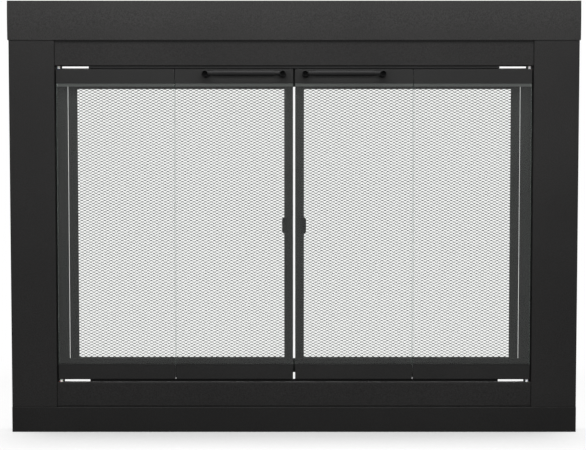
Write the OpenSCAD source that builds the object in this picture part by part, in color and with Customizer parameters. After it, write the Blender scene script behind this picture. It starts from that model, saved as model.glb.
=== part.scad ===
// Bi-fold glass door set for a masonry fireplace, with mesh gates behind the glass.
// Lengths in millimetres. X runs to the right, Y from the room towards the fire, Z up.
// The origin is the centre of the sill's underside.

/* [Frame] */
// Width over the two stiles
frame_w = 1104.9; // [900:1:1300]
// Height from the hearth to the top of the hood
frame_h = 840.4; // [700:1:1000]
// Depth of the frame from the stiles' face to the wall
frame_depth = 38; // [36:0.5:60]
// Width of each stile's face
stile_w = 88.9; // [70:0.5:120]
// Height of the hood's face
hood_h = 75.5; // [60:0.5:110]
// Height of the header's face below the hood
header_h = 50; // [40:0.5:80]
// Height of the sill's face
sill_h = 50; // [40:0.5:80]
// Height of the bottom rail's face above the sill
bottom_rail_h = 48.5; // [42:0.5:80]
// How far the header and the bottom rail lie behind the stiles' face
rail_setback = 3; // [2.5:0.1:4]
// Sheet thickness of the frame
sheet = 1.5; // [1.2:0.1:2]
// Inner radius of the frame's bends
bend_r = 0.8; // [0.5:0.1:1.2]
// Width of the returned lips at the back of the stiles and the sill
lip_w = 12; // [9:0.5:16]

/* [Hood] */
// Sheet thickness of the hood
hood_sheet = 1.2; // [1:0.1:1.6]
// Clearance between the hood and the stiles that it caps
hood_clear = 0.3; // [0.2:0.05:0.6]
// Crown of the hood's face
hood_crown = 1.6; // [1:0.1:3]
// How far the header runs up behind the hood
header_lap = 25; // [15:1:40]

/* [Glass leaves] */
// How far the leaves lie behind the stiles' face
leaf_setback = 6; // [5.5:0.1:7]
// Thickness of a leaf over its rails
leaf_t = 9; // [8.6:0.1:9.2]
// Gap over the leaves
leaf_gap = 5.4; // [5.2:0.1:8]
// Gap under the leaves
low_gap = 4.6; // [4:0.1:8]
// Gap between a leaf and the stile
leaf_side_gap = 1.8; // [1.6:0.1:3]
// Gap between the two pairs of leaves
centre_gap = 4; // [3:0.5:8]
// Gap between the two leaves of a pair
fold_gap = 1.5; // [1.2:0.1:2]
// Height of a leaf's top rail
top_rail_h = 27.7; // [26:0.1:40]
// Height of a leaf's bottom rail
low_rail_h = 29.9; // [26:0.1:40]
// Wall of the leaf rails
rail_wall = 1.2; // [1:0.1:1.3]
// Inner radius of the leaf rails' bends
rail_bend_r = 0.6; // [0.4:0.1:0.8]
// Thickness of the tempered glass
glass_t = 4; // [3.5:0.1:4.4]
// Length of gasket that shows below the top rails, behind the glass
gasket_show = 6; // [3:0.5:10]

/* [Pivots and guides] */
// Distance of the pivot and guide pins from the leaf's edge
pin_inset = 5; // [4.8:0.1:7.2]
// Radius of the pivot and guide pins
pin_r = 2; // [1.6:0.1:2.2]
// Radial running clearance of pins in their bores
run_fit = 0.05; // [0.03:0.01:0.08]
// Radius of the nylon guide roller
roller_r = 3.6; // [3.2:0.1:3.9]
// Clearance between the roller and the track's walls
roller_clear = 0.6; // [0.4:0.1:0.8]
// Wall of the guide track
track_wall = 1; // [0.8:0.1:1.2]
// Depth of the guide track
track_h = 4.2; // [4:0.1:4.4]
// Distance from the stile to the end of the track
track_end = 65.5; // [50:0.5:80]
// Outer radius of the pivot bushings
bushing_r = 4; // [3.4:0.1:4.4]
// Outer radius of the nylon sleeves that show in the gaps
sleeve_r = 3; // [2.6:0.1:3.2]
// Length of the pivot brackets
bracket_l = 52; // [44:1:60]
// Thickness of the pivot brackets
bracket_t = 2.5; // [2:0.1:3]

/* [Fold hinges] */
// Radius of the hinge barrels
barrel_r = 2.2; // [2:0.05:2.3]
// Radius of the hinge pins
fold_pin_r = 1.1; // [0.9:0.05:1.3]
// Thickness of the hinge plates
plate_t = 1.2; // [1:0.1:1.4]
// Width of a hinge plate
plate_w = 16; // [14:0.5:22]
// Height of a fold hinge
hinge_h = 24; // [20:0.5:25]
// Gap between knuckles
knuckle_gap = 0.3; // [0.2:0.05:0.5]

/* [Handles] */
// Distance between the posts of a handle
handle_pitch = 149.6; // [120:1:170]
// Distance from the leaf's free edge to the nearer post
handle_edge = 19.8; // [16:0.5:30]
// Radius of the handle's bar
handle_bar_r = 5.3; // [4:0.1:6]
// Radius of the handle's posts
handle_post_r = 6.3; // [6:0.1:8]
// Distance from the leaf's face to the bar's axis
handle_reach = 26; // [24:0.5:34]
// Distance from the leaf's top to the bar's axis
handle_drop = 10; // [9:0.5:16]
// Radius of the necks where the bar meets the posts
handle_neck_r = 4.2; // [3.5:0.1:5]
// Length of each neck, from the post's axis
handle_neck_l = 14; // [10:0.5:20]

/* [Mesh gates] */
// Width of a gate's frame
gate_tube_w = 17.3; // [15:0.1:22]
// Depth of a gate's frame
gate_depth = 9; // [8:0.5:9]
// Gap between the two gates
gate_gap = 4; // [3.6:0.2:8]
// Sheet thickness of the gates and of the bars that they close against
gate_sheet = 1.2; // [1:0.1:1.4]
// Distance from the leaves' top down to the top of the gates
gate_top_inset = 20.9; // [18:0.1:32]
// Distance from the leaves' underside up to the underside of the gates
gate_low_inset = 24.2; // [18:0.1:32]
// Depth from the stiles' face to the bars and the jamb channels
bar_setback = 19.8; // [19.4:0.1:20.5]
// Height to which the bars run behind the leaves
bar_h = 34; // [30:0.5:38]
// How far the top bar and the jamb channels stand above the leaves
bar_over = 2; // [1:0.1:3]
// How far the bottom bar and the jamb channels reach below the leaves
bar_under = 2; // [1:0.1:3]
// Width of the jamb channels' face
jamb_w = 22.4; // [21:0.1:24]
// Space between the bars and the closed gates
gate_space = 3; // [2.8:0.1:3.2]
// Distance from a gate's outer edge to its pivot
gate_pin_inset = 5; // [4.5:0.1:5.2]
// Width of a diamond in the mesh, along X
mesh_pitch = 56; // [44:1:80]
// Width of a strand of the mesh
strand_w = 2; // [1.5:0.1:3]
// Thickness of the mesh
mesh_t = 0.8; // [0.6:0.1:1]
// Width of a gate's finger pull
pull_w = 10.2; // [8:0.1:14]
// Height of a gate's finger pull
pull_h = 31.6; // [24:0.5:40]
// How far the finger pull stands out
pull_out = 5.5; // [4:0.5:7]

/* [Fixings] */
// Shank radius of the assembly screws
screw_r = 1.6; // [1.2:0.1:1.8]
// Head radius of the assembly screws
screw_head_r = 3; // [2.6:0.1:3.4]
// Head height of the assembly screws
screw_head_h = 1.8; // [1.4:0.1:2.2]
// Thickness of the corner angles
angle_t = 2; // [1.5:0.1:2.5]
// Leg of the corner angles along the header and the bottom rail
angle_leg = 34; // [30:1:45]
// Leg of the corner angles along the stile
angle_depth = 24; // [20:1:30]
// Height of the top corner angles
top_angle_h = 50; // [40:1:56]
// Height of the bottom corner angles
low_angle_h = 20; // [16:1:26]
// Width of the angles that hold the stiles on the sill
sill_angle_w = 14; // [12:0.5:18]
// Distance from the middle to each lintel clamp
clamp_x = 250; // [150:5:320]
// Width of the lintel clamps and floor brackets
strap_w = 28; // [22:1:40]
// Thickness of the lintel clamps and floor brackets
strap_t = 3; // [2.5:0.1:4]
// How far the lintel clamps reach behind the wall face
clamp_reach = 60; // [50:1:90]
// Shank radius of the clamp bolts
bolt_r = 3; // [2.5:0.1:4]
// Distance from the middle to each floor bracket
floor_x = 400; // [300:5:420]
// How far the floor brackets reach behind the wall face
floor_reach = 60; // [45:1:80]
// Radius of the anchor holes in the floor brackets
anchor_r = 3.5; // [3:0.1:5]

/* [Hidden] */
$fn = 48;
eps = 1;          // how far cuts run past the faces that they open
blind = 0.3;      // metal left over the end of a blind screw
bend = sheet + bend_r;
rail_bend = rail_wall + rail_bend_r;
gate_bend_r = 0.6;

// Frame planes
face_y = -frame_depth / 2;
back_y = frame_depth / 2;
inner_x = frame_w / 2 - stile_w;
hood_z = frame_h - hood_h;
header_z = hood_z - header_h;
header_top = hood_z + header_lap;
rail_top = sill_h + bottom_rail_h;
rail_y = face_y + rail_setback;
header_depth = 22;
header_flange = 20;
header_lip = 8;
rail_foot = 20;
angle_screw_x = inner_x - angle_leg * 0.65;

// Leaf planes and axes
leaf_y = face_y + leaf_setback;
leaf_back = leaf_y + leaf_t;
pivot_y = leaf_y + leaf_t / 2;
leaf_z = rail_top + low_gap;
leaf_top = header_z - leaf_gap;
leaf_outer = inner_x - leaf_side_gap;
leaf_inner = centre_gap / 2;
pivot_x = leaf_outer - pin_inset;
guide_x = leaf_inner + pin_inset;
fold_x = (pivot_x + guide_x) / 2;
fold_y = leaf_back + plate_t;
glass_y = pivot_y - glass_t / 2;
gasket_web = 1.5;
glass_z = leaf_z + rail_wall + gasket_web;
glass_top = leaf_top - rail_wall - gasket_web;

// Rail under the leaves and the strip on its back
strip_y = leaf_back + 0.6;
rail_flange = strip_y - rail_y;
rail_lip = 18;

// Pivot hardware
head_r = leaf_t / 2 - rail_bend;
head_h = 1;
shoulder_r = pin_r + 0.5;
bushing_top = header_z + sheet + bracket_t + 1;
bushing_low = rail_top - sheet - bracket_t - 1;
bracket_w = 2 * (pivot_y - rail_y - bend) - 0.4;
track_x = inner_x - track_end;
track_z = header_z - track_h;
roller_h = track_h - track_wall - 0.8;
roller_z = header_z - track_wall - 0.4 - roller_h;

// Fold hinges
top_hinge_z = leaf_top - top_rail_h / 2;
low_hinge_z = leaf_z + low_rail_h / 2;
knuckle_h = (hinge_h - 2 * knuckle_gap) / 3;
barrel_clear = 0.35;

// Mesh gates
bar_y = face_y + bar_setback;
gate_y = bar_y + gate_sheet + gate_space;
gate_mid = gate_y + gate_depth / 2;
jamb_edge = inner_x - jamb_w;
gate_outer = jamb_edge - 0.25;
gate_inner = gate_gap / 2;
gate_pin_x = gate_outer - gate_pin_inset;
mid_z = (leaf_z + leaf_top) / 2;
gate_low = leaf_z + gate_low_inset;
gate_high = leaf_top - gate_top_inset;
mesh_low = gate_low + gate_tube_w;
mesh_high = gate_high - gate_tube_w;
mesh_y = gate_y + gate_depth * 0.58;
ear_t = 2;
ear_w = 10;
ear_gap = 2.2;
ear_tab = 12;
bar_low_z = leaf_z - bar_under;
bar_low_top = leaf_z + bar_h + 6;
bar_top_z = leaf_top - bar_h;
bar_top_end = leaf_top + bar_over;
bar_flange = 12;
pull_mid_z = mid_z - 1.3;
magnet_t = gate_space - 0.4;
magnet_w = 18;
magnet_h = 6;
jamb_lip = 8;

// Handles
handle_x0 = leaf_inner + handle_edge;
handle_x1 = handle_x0 + handle_pitch;
handle_y = leaf_y - handle_reach;
handle_z = leaf_top - handle_drop;
handle_head_r = 4;
handle_thread = 9;
handle_cup = 3;

// Fixings to the fireplace
clamp_arm_z = header_top - 34;
clamp_bolt_z = clamp_arm_z + 30;
clamp_end_y = back_y + clamp_reach;
bolt_l = 50;
bolt_grip = 32;
pad_t = 4;
wing_w = 22;
wing_l = 12;
wing_t = 3;
floor_end_y = back_y + floor_reach;
bracket_screw_x = pivot_x - bracket_l * 0.58;
jamb_screw_inset = 60;
clamp_screw_inset = 13;
strip_foot = 10;
strip_over = 3;
tab_w = 2.8;
tab_x = pivot_x - sleeve_r - 0.4 - tab_w;

// ---------------------------------------------------------------- shared forms

// A quarter of a ring: the cross-section of one bend.
module bend_corner(t, r) {
    intersection() {
        difference() {
            circle(r + t);
            circle(r);
        }
        square(r + t);
    }
}

// Cross-section of folded sheet: flat legs joined by quarter bends to the left.
module folded(legs, t, r, i = 0) {
    square([legs[i], t]);
    if (i + 1 < len(legs))
        translate([legs[i], t + r]) {
            rotate(-90) bend_corner(t, r);
            rotate(90) translate([0, -t - r]) folded(legs, t, r, i + 1);
        }
}

// C-section, open at the back: face of width w at y = 0, depth d, lips at the back.
module c_section(w, d, lip) {
    translate([-w / 2 + lip, d]) rotate(180)
        folded([lip - bend, d - 2 * bend, w - 2 * bend, d - 2 * bend, lip - bend],
            sheet, bend_r);
}

// Carries a cross-section drawn in Y and Z along X, from x0 to x1.
module along_x(x0, x1) {
    translate([x0, 0, 0]) rotate([90, 0, 90]) linear_extrude(x1 - x0) children();
}

// A solid drawn for the right side, or its mirror image on the left.
module on_right() {
    children();
}
module on_left() {
    mirror([1, 0, 0]) children();
}
module on_both() {
    on_right() children();
    on_left() children();
}

// A box from one corner to the opposite one.
module block(from, to) {
    translate(from) cube(to - from);
}

// A round along an axis, from a point, over a length.
module round_x(p, r, l) {
    translate(p) rotate([0, 90, 0]) cylinder(h = l, r = r);
}
module round_y(p, r, l) {
    translate(p) rotate([-90, 0, 0]) cylinder(h = l, r = r);
}
module round_z(p, r, l) {
    translate(p) cylinder(h = l, r = r);
}

// Turns +Z to the direction in which a screw is driven.
module driven(dir) {
    if (dir == "x+") rotate([0, 90, 0]) children();
    if (dir == "x-") rotate([0, -90, 0]) children();
    if (dir == "y+") rotate([-90, 0, 0]) children();
    if (dir == "y-") rotate([90, 0, 0]) children();
    if (dir == "z-") rotate([180, 0, 0]) children();
    if (dir == "z+") children();
}

// Pan-head screw: the head's seat at the origin, the shank along the driving direction.
module screw(l) {
    cylinder(h = l, r = screw_r);
    translate([0, 0, -screw_head_h]) cylinder(h = screw_head_h, r = screw_head_r);
}

// Screw list entries: seat point, driving direction, shank length.
module screws(list) {
    for (s = list) translate(s[0]) driven(s[1]) screw(s[2]);
}
module screw_holes(list) {
    for (s = list)
        translate(s[0]) driven(s[1]) translate([0, 0, -eps]) cylinder(h = s[2] + eps, r = screw_r);
}

// ---------------------------------------------------------------- screw places, right side

// Top corner angles: into the stile and into the header
top_angle_low = header_z + 8;
top_angle_z = [top_angle_low + top_angle_h * 0.2, top_angle_low + top_angle_h * 0.8];
top_angle_screws = [
    for (z = top_angle_z) [[inner_x - angle_t, rail_y + angle_depth * 0.6, z], "x+", angle_t + sheet + 1],
    for (z = top_angle_z)
        [[angle_screw_x, rail_y + sheet + angle_t, z], "y-", angle_t + sheet - blind]
];
// Bottom corner angles: into the stile and into the bottom rail
low_angle_z = sill_h + 6 + low_angle_h / 2;
low_angle_screws = [
    [[inner_x - angle_t, rail_y + angle_depth * 0.42, low_angle_z], "x+", angle_t + sheet + 1],
    [[angle_screw_x, rail_y + sheet + angle_t, low_angle_z], "y-", angle_t + sheet - blind]
];
// Sill angles inside the stiles: into the stile's inner wall and the sill's top
sill_angle_y = 8;
sill_angle_screws = [
    [[inner_x + sheet + angle_t, sill_angle_y, sill_h + angle_depth * 0.6], "x-", angle_t + sheet],
    [[inner_x + angle_leg * 0.6, sill_angle_y, sill_h + angle_t], "z-", angle_t + sheet + 1]
];
// Guide track, driven down through the header's flange
track_screws = [
    for (x = [track_x * 0.3, track_x * 0.85])
        [[x, pivot_y, header_z + sheet], "z-", sheet + track_wall]
];
// Pivot brackets, onto the header's and the bottom rail's flanges
top_bracket_screw = [
    [[bracket_screw_x, pivot_y, header_z + sheet + bracket_t], "z-", sheet + bracket_t]
];
low_bracket_screw = [
    [[bracket_screw_x, pivot_y, rail_top - sheet - bracket_t], "z+", sheet + bracket_t - blind]
];
// Stop strip on the bottom rail's lip
strip_screws = [
    for (x = [track_x * 0.3, track_x * 0.85]) [[x, strip_y + sheet, rail_top - 10], "y-", 2 * sheet]
];
// Jamb channels on the stiles
jamb_screws = [
    for (z = [leaf_z + jamb_screw_inset, leaf_top - jamb_screw_inset])
        [[inner_x - gate_sheet, gate_mid, z], "x+", gate_sheet + sheet + 1]
];
// Hood, driven outwards from inside the stiles and blind in the hood's ends
hood_screws = [
    for (z = [hood_z + hood_h * 0.3, hood_z + hood_h * 0.7])
        [[frame_w / 2 - sheet, 4, z], "x+", sheet + hood_clear + hood_sheet - blind]
];
// Lintel clamps on the header
clamp_screws = [
    for (z = [header_z + clamp_screw_inset, header_top - clamp_screw_inset])
        [[clamp_x, rail_y + sheet + strap_t, z], "y-", strap_t + sheet - blind]
];
// Floor brackets on the sill's lips
floor_screws = [[[floor_x, back_y + strap_t, lip_w / 2 + 1], "y-", strap_t + sheet]];

// ---------------------------------------------------------------- outer frame

module stile() {
    color([0.2, 0.2, 0.2]) difference() {
        translate([inner_x + stile_w / 2, face_y, sill_h])
            linear_extrude(frame_h - hood_sheet - hood_clear - sill_h)
                c_section(stile_w, frame_depth, lip_w);
        screw_holes(top_angle_screws);
        screw_holes(low_angle_screws);
        screw_holes(sill_angle_screws);
        screw_holes(jamb_screws);
        screw_holes(hood_screws);
    }
}

module sill() {
    color([0.19, 0.19, 0.19]) difference() {
        along_x(-frame_w / 2, frame_w / 2)
            translate([face_y, sill_h / 2]) rotate(-90) c_section(sill_h, frame_depth, lip_w);
        on_both() {
            screw_holes(sill_angle_screws);
            screw_holes(floor_screws);
        }
    }
}

// Outline of the hood from the side, drawn in Y and Z and drawn in by a wall.
module hood_outline(wall) {
    crown_r = (hood_h * hood_h / 4 + hood_crown * hood_crown) / (2 * hood_crown);
    front = face_y - hood_clear - hood_sheet;
    translate([front + wall, hood_z]) square([back_y - front - wall, hood_h - wall]);
    intersection() {
        translate([front - hood_crown + crown_r, hood_z + hood_h / 2]) circle(crown_r - wall, $fn = 240);
        translate([front - hood_crown, hood_z]) square([hood_crown + wall + 1, hood_h - wall]);
    }
}

module hood_cap() {
    half = frame_w / 2 + hood_clear + hood_sheet;
    color([0.24, 0.24, 0.24]) difference() {
        along_x(-half, half) hood_outline(0);
        along_x(-half + hood_sheet, half - hood_sheet) {
            hood_outline(hood_sheet);
            translate([face_y - hood_clear, hood_z - eps])
                square([frame_depth + hood_clear + eps, hood_h - hood_sheet + eps]);
        }
        on_both() screw_holes(hood_screws);
    }
}

// Tab lanced out of a flange between a pivot and the open end of its gap.
module gap_tab(z0, z1) {
    block([tab_x, pivot_y - tab_w, z0], [tab_x + tab_w, pivot_y + tab_w, z1]);
}

module header_rail() {
    color([0.2, 0.2, 0.2]) difference() {
        union() {
            along_x(-inner_x, inner_x)
                translate([rail_y + header_depth, header_top]) rotate(180)
                    folded([header_depth - bend, header_top - header_z - 2 * bend,
                        header_flange - 2 * bend, header_lip - bend], sheet, bend_r);
            on_both() gap_tab(leaf_top + 0.8, header_z + sheet / 2);
        }
        on_both() {
            screw_holes(top_angle_screws);
            screw_holes(track_screws);
            screw_holes(top_bracket_screw);
            screw_holes(clamp_screws);
            round_z([pivot_x, pivot_y, header_z - eps], bushing_r + 0.3, sheet + 2 * eps);
        }
    }
}

module bottom_rail() {
    color([0.19, 0.19, 0.19]) difference() {
        union() {
            along_x(-inner_x, inner_x)
                translate([strip_y, rail_top - rail_lip]) rotate(90)
                    folded([rail_lip - bend, rail_flange - 2 * bend, bottom_rail_h - 2 * bend,
                        rail_foot - bend], sheet, bend_r);
            on_both() gap_tab(rail_top - sheet / 2, leaf_z - 0.8);
        }
        on_both() {
            screw_holes(low_angle_screws);
            screw_holes(low_bracket_screw);
            screw_holes(strip_screws);
            round_z([pivot_x, pivot_y, rail_top - sheet - eps], bushing_r + 0.3, sheet + 2 * eps);
            block([track_x + 4, strip_y - bend, rail_top - rail_lip - eps],
                [inner_x + eps, strip_y + eps, rail_top - sheet]);
        }
    }
}

module corner_brackets() {
    color([0.55, 0.56, 0.58]) on_both() difference() {
        union() {
            translate([inner_x, rail_y + sheet, top_angle_low])
                linear_extrude(top_angle_h) angle_corner(angle_leg, angle_depth);
            translate([inner_x, rail_y + sheet, sill_h + 6])
                linear_extrude(low_angle_h) angle_corner(angle_leg, angle_depth);
            translate([inner_x + sheet, sill_angle_y + sill_angle_w / 2, sill_h]) rotate([90, 0, 0])
                linear_extrude(sill_angle_w) mirror([1, 0]) angle_corner(angle_leg, angle_depth);
        }
        screw_holes(top_angle_screws);
        screw_holes(low_angle_screws);
        screw_holes(sill_angle_screws);
    }
}

// Angle section with its outer corner at the origin: legs along -X and along +Y.
module angle_corner(leg_x, leg_y) {
    b = angle_t + bend_r;
    translate([-leg_x, 0])
        folded([leg_x - b, leg_y - b], angle_t, bend_r);
}

// ---------------------------------------------------------------- track and pivot hardware

module guide_track() {
    half = roller_r + roller_clear + track_wall;
    color([0.14, 0.14, 0.14]) difference() {
        block([-track_x, pivot_y - half, track_z], [track_x, pivot_y + half, header_z]);
        block([-track_x + 2, pivot_y - half + track_wall, track_z - eps],
            [track_x - 2, pivot_y + half - track_wall, header_z - track_wall]);
        on_both() screw_holes(track_screws);
    }
}

module bottom_stop_strip() {
    color([0.1, 0.1, 0.1]) difference() {
        block([-track_x - strip_over, strip_y, sill_h + strip_foot],
            [track_x + strip_over, strip_y + sheet, leaf_z - 0.4]);
        on_both() screw_holes(strip_screws);
    }
}

// Plate with one round end about the pivot and a fixing screw near the other.
module pivot_bracket(z) {
    w = bracket_w;
    difference() {
        union() {
            block([pivot_x - bracket_l + w / 2, pivot_y - w / 2, z],
                [pivot_x, pivot_y + w / 2, z + bracket_t]);
            intersection() {
                round_z([pivot_x, pivot_y, z], w / 2, bracket_t);
                block([pivot_x - w, pivot_y - w, z], [inner_x, pivot_y + w, z + bracket_t]);
            }
        }
        round_z([pivot_x, pivot_y, z - eps], bushing_r, bracket_t + 2 * eps);
    }
}

module top_pivot_brackets() {
    color([0.6, 0.61, 0.62]) on_both() difference() {
        pivot_bracket(header_z + sheet);
        screw_holes(top_bracket_screw);
    }
}

module bottom_pivot_brackets() {
    color([0.6, 0.61, 0.62]) on_both() difference() {
        pivot_bracket(rail_top - sheet - bracket_t);
        screw_holes(low_bracket_screw);
    }
}

// Flanged bushings whose sleeves fill the gaps over and under the leaf. The bottom pair
// carry the leaves on their ends.
module pivot_bushings() {
    flange_r = min(bushing_r + 1, bracket_w / 2);
    sleeve_top = leaf_top + 0.3;
    color([0.85, 0.84, 0.8]) on_both() {
        difference() {
            union() {
                round_z([pivot_x, pivot_y, sleeve_top], sleeve_r, bushing_top - sleeve_top);
                round_z([pivot_x, pivot_y, header_z + 0.2], bushing_r, bushing_top - header_z - 0.2);
                round_z([pivot_x, pivot_y, bushing_top - 1], flange_r, 1);
            }
            round_z([pivot_x, pivot_y, sleeve_top - eps], pin_r + run_fit,
                bushing_top - sleeve_top + 2 * eps);
        }
        difference() {
            union() {
                round_z([pivot_x, pivot_y, bushing_low], sleeve_r, leaf_z - bushing_low);
                round_z([pivot_x, pivot_y, bushing_low], bushing_r, rail_top - 0.2 - bushing_low);
                round_z([pivot_x, pivot_y, bushing_low], flange_r, 1);
            }
            round_z([pivot_x, pivot_y, bushing_low - eps], pin_r + run_fit,
                leaf_z - bushing_low + 2 * eps);
        }
    }
}

// ---------------------------------------------------------------- gate carriers

module jamb_channels() {
    depth = back_y - bar_y - sheet - 1;
    b = gate_sheet + gate_bend_r;
    color([0.22, 0.23, 0.22]) on_both() difference() {
        translate([0, 0, bar_low_z]) linear_extrude(bar_top_end - bar_low_z)
            translate([jamb_edge, bar_y])
                folded([jamb_w - b, depth - 2 * b, jamb_lip - b], gate_sheet, gate_bend_r);
        screw_holes(jamb_screws);
    }
}

// Bars with a returned flange along the edge away from the mesh.
module gate_top_bar() {
    b = gate_sheet + gate_bend_r;
    color([0.24, 0.25, 0.24]) along_x(-jamb_edge, jamb_edge)
        translate([bar_y + bar_flange, bar_top_end]) rotate(180)
            folded([bar_flange - b, bar_top_end - bar_top_z - b], gate_sheet, gate_bend_r);
}

module gate_bottom_bar() {
    b = gate_sheet + gate_bend_r;
    color([0.24, 0.25, 0.24]) along_x(-jamb_edge, jamb_edge)
        translate([bar_y, bar_low_top]) rotate(-90)
            folded([bar_low_top - bar_low_z - b, bar_flange - b], gate_sheet, gate_bend_r);
}

// Ear that carries a gate's pivot pin: a plate with a round end, and a tab on the jamb channel.
module hinge_ear(z, tab_up) {
    wall_x = inner_x - gate_sheet;
    difference() {
        union() {
            block([gate_pin_x, gate_mid - ear_w / 2, z], [wall_x, gate_mid + ear_w / 2, z + ear_t]);
            round_z([gate_pin_x, gate_mid, z], ear_w / 2, ear_t);
            block([wall_x - ear_t, gate_mid - ear_w / 2, tab_up ? z : z + ear_t - ear_tab],
                [wall_x, gate_mid + ear_w / 2, tab_up ? z + ear_tab : z + ear_t]);
        }
        round_z([gate_pin_x, gate_mid, z - eps], pin_r + run_fit, ear_t + 2 * eps);
    }
}

module gate_hinge_ears() {
    color([0.3, 0.3, 0.3]) on_both() {
        hinge_ear(gate_high + ear_gap, true);
        hinge_ear(gate_low - ear_gap - ear_t, false);
    }
}

module gate_magnets() {
    color([0.35, 0.35, 0.36]) on_both()
        for (z = [(bar_top_z + gate_high) / 2, (gate_low + bar_low_top) / 2])
            block([gate_inner + magnet_w / 2, bar_y + gate_sheet, z - magnet_h / 2],
                [gate_inner + magnet_w * 1.5, bar_y + gate_sheet + magnet_t, z + magnet_h / 2]);
}

// ---------------------------------------------------------------- fixings to the fireplace

module lintel_clamps() {
    z = clamp_arm_z;
    rear = clamp_end_y;
    color([0.6, 0.61, 0.62]) on_both() difference() {
        union() {
            block([clamp_x - strap_w / 2, rail_y + sheet, header_z + header_lip],
                [clamp_x + strap_w / 2, rail_y + sheet + strap_t, header_top - bend]);
            block([clamp_x - strap_w / 2, rail_y + sheet, z],
                [clamp_x + strap_w / 2, rear, z + strap_t]);
            block([clamp_x - strap_w / 2, rear - strap_t, z], [clamp_x + strap_w / 2, rear, z + 45]);
        }
        screw_holes(clamp_screws);
        round_y([clamp_x, rear - strap_t - eps, clamp_bolt_z], bolt_r, strap_t + 2 * eps);
    }
}

// Thumb bolts that press the lintel against the frame's back.
module clamp_bolts() {
    z = clamp_bolt_z;
    rear = clamp_end_y;
    color([0.65, 0.66, 0.68]) on_both() {
        round_y([clamp_x, rear - bolt_grip, z], bolt_r, bolt_l);
        round_y([clamp_x, rear - bolt_grip - pad_t, z], bolt_r + 5, pad_t);
        block([clamp_x - wing_w / 2, rear + bolt_l - bolt_grip - wing_l + 2, z - wing_t / 2],
            [clamp_x + wing_w / 2, rear + bolt_l - bolt_grip + 2, z + wing_t / 2]);
    }
}

module floor_brackets() {
    rear = floor_end_y;
    color([0.6, 0.61, 0.62]) on_both() difference() {
        union() {
            block([floor_x - strap_w / 2, back_y, 0],
                [floor_x + strap_w / 2, back_y + strap_t, sill_h - 6]);
            block([floor_x - strap_w / 2, back_y, 0],
                [floor_x + strap_w / 2, rear - strap_w / 2, strap_t]);
            round_z([floor_x, rear - strap_w / 2, 0], strap_w / 2, strap_t);
        }
        round_z([floor_x, rear - strap_w / 2, -eps], anchor_r, strap_t + 2 * eps);
        screw_holes(floor_screws);
    }
}

module frame_screws() {
    color([0.7, 0.71, 0.73]) on_both() {
        screws(top_angle_screws);
        screws(low_angle_screws);
        screws(sill_angle_screws);
        screws(track_screws);
        screws(top_bracket_screw);
        screws(low_bracket_screw);
        screws(strip_screws);
        screws(jamb_screws);
        screws(hood_screws);
        screws(clamp_screws);
        screws(floor_screws);
    }
}

// ---------------------------------------------------------------- leaves

// U-rail closed at the top, drawn in Y and Z, from the leaf's top down.
module rail_section(h) {
    translate([leaf_back, -h]) rotate(90)
        folded([h - rail_bend, leaf_t - 2 * rail_bend, h - rail_bend], rail_wall, rail_bend_r);
}

// Room for the hinge barrel in the rail's back leg, on both sides of the fold.
module barrel_room(z) {
    r = barrel_r + barrel_clear;
    block([fold_x - r, leaf_back - rail_wall, z - hinge_h / 2 - knuckle_gap],
        [fold_x + r, leaf_back + eps, z + hinge_h / 2 + knuckle_gap]);
}

module leaf_top_rail(x0, x1, pin_x) {
    color([0.2, 0.2, 0.2]) difference() {
        along_x(x0, x1) translate([0, leaf_top]) rail_section(top_rail_h);
        barrel_room(top_hinge_z);
        round_z([pin_x, pivot_y, leaf_top - rail_wall - eps], pin_r, rail_wall + 2 * eps);
        handle_holes(leaf_y - eps, rail_wall + 2 * eps, pin_r);
    }
}

module leaf_bottom_rail(x0, x1, pin_x) {
    color([0.19, 0.19, 0.19]) difference() {
        along_x(x0, x1) translate([0, leaf_z]) mirror([0, 1]) rail_section(low_rail_h);
        barrel_room(low_hinge_z);
        if (pin_x > fold_x)
            round_z([pin_x, pivot_y, leaf_z - eps], pin_r, rail_wall + 2 * eps);
    }
}

module glass_pane(x0, x1) {
    color([0.8, 0.86, 0.84, 0.3])
        block([x0, glass_y, glass_z], [x1, glass_y + glass_t, glass_top]);
}

// U-shaped gasket between rail and glass; its back leg shows below the top rail.
module gasket_section(front_leg, back_leg) {
    y0 = leaf_y + rail_wall;
    y1 = leaf_back - rail_wall;
    difference() {
        union() {
            translate([y0, -back_leg]) square([y1 - y0, back_leg - rail_bend_r]);
            translate([y0 + rail_bend_r, -2 * rail_bend_r])
                square([y1 - y0 - 2 * rail_bend_r, 2 * rail_bend_r]);
            for (y = [y0 + rail_bend_r, y1 - rail_bend_r])
                translate([y, -rail_bend_r]) circle(rail_bend_r);
        }
        translate([glass_y, -back_leg - eps]) square([glass_t, back_leg + eps - gasket_web]);
        translate([y0 - eps, -back_leg - eps])
            square([glass_y - y0 + eps, back_leg - front_leg + eps]);
    }
}

module leaf_gaskets(x0, x1, pin_x) {
    color([0.33, 0.34, 0.33]) {
        difference() {
            along_x(x0, x1) translate([0, leaf_top - rail_wall])
                gasket_section(top_rail_h - rail_wall - 2, top_rail_h - rail_wall + gasket_show);
            round_z([pin_x, pivot_y, glass_top], head_r + 0.2, gasket_web + eps);
            handle_holes(leaf_y + rail_wall - eps, glass_y - leaf_y - rail_wall + eps, handle_head_r + 0.2);
        }
        difference() {
            along_x(x0, x1) translate([0, leaf_z + rail_wall]) mirror([0, 1])
                gasket_section(low_rail_h - rail_wall - 2, low_rail_h - rail_wall - 2);
            if (pin_x > fold_x)
                round_z([pin_x, pivot_y, leaf_z], head_r + 0.2, glass_z - leaf_z);
        }
    }
}

module handle_holes(y, l, r) {
    for (x = [handle_x0, handle_x1]) round_y([x, y, handle_z], r, l);
}

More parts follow.
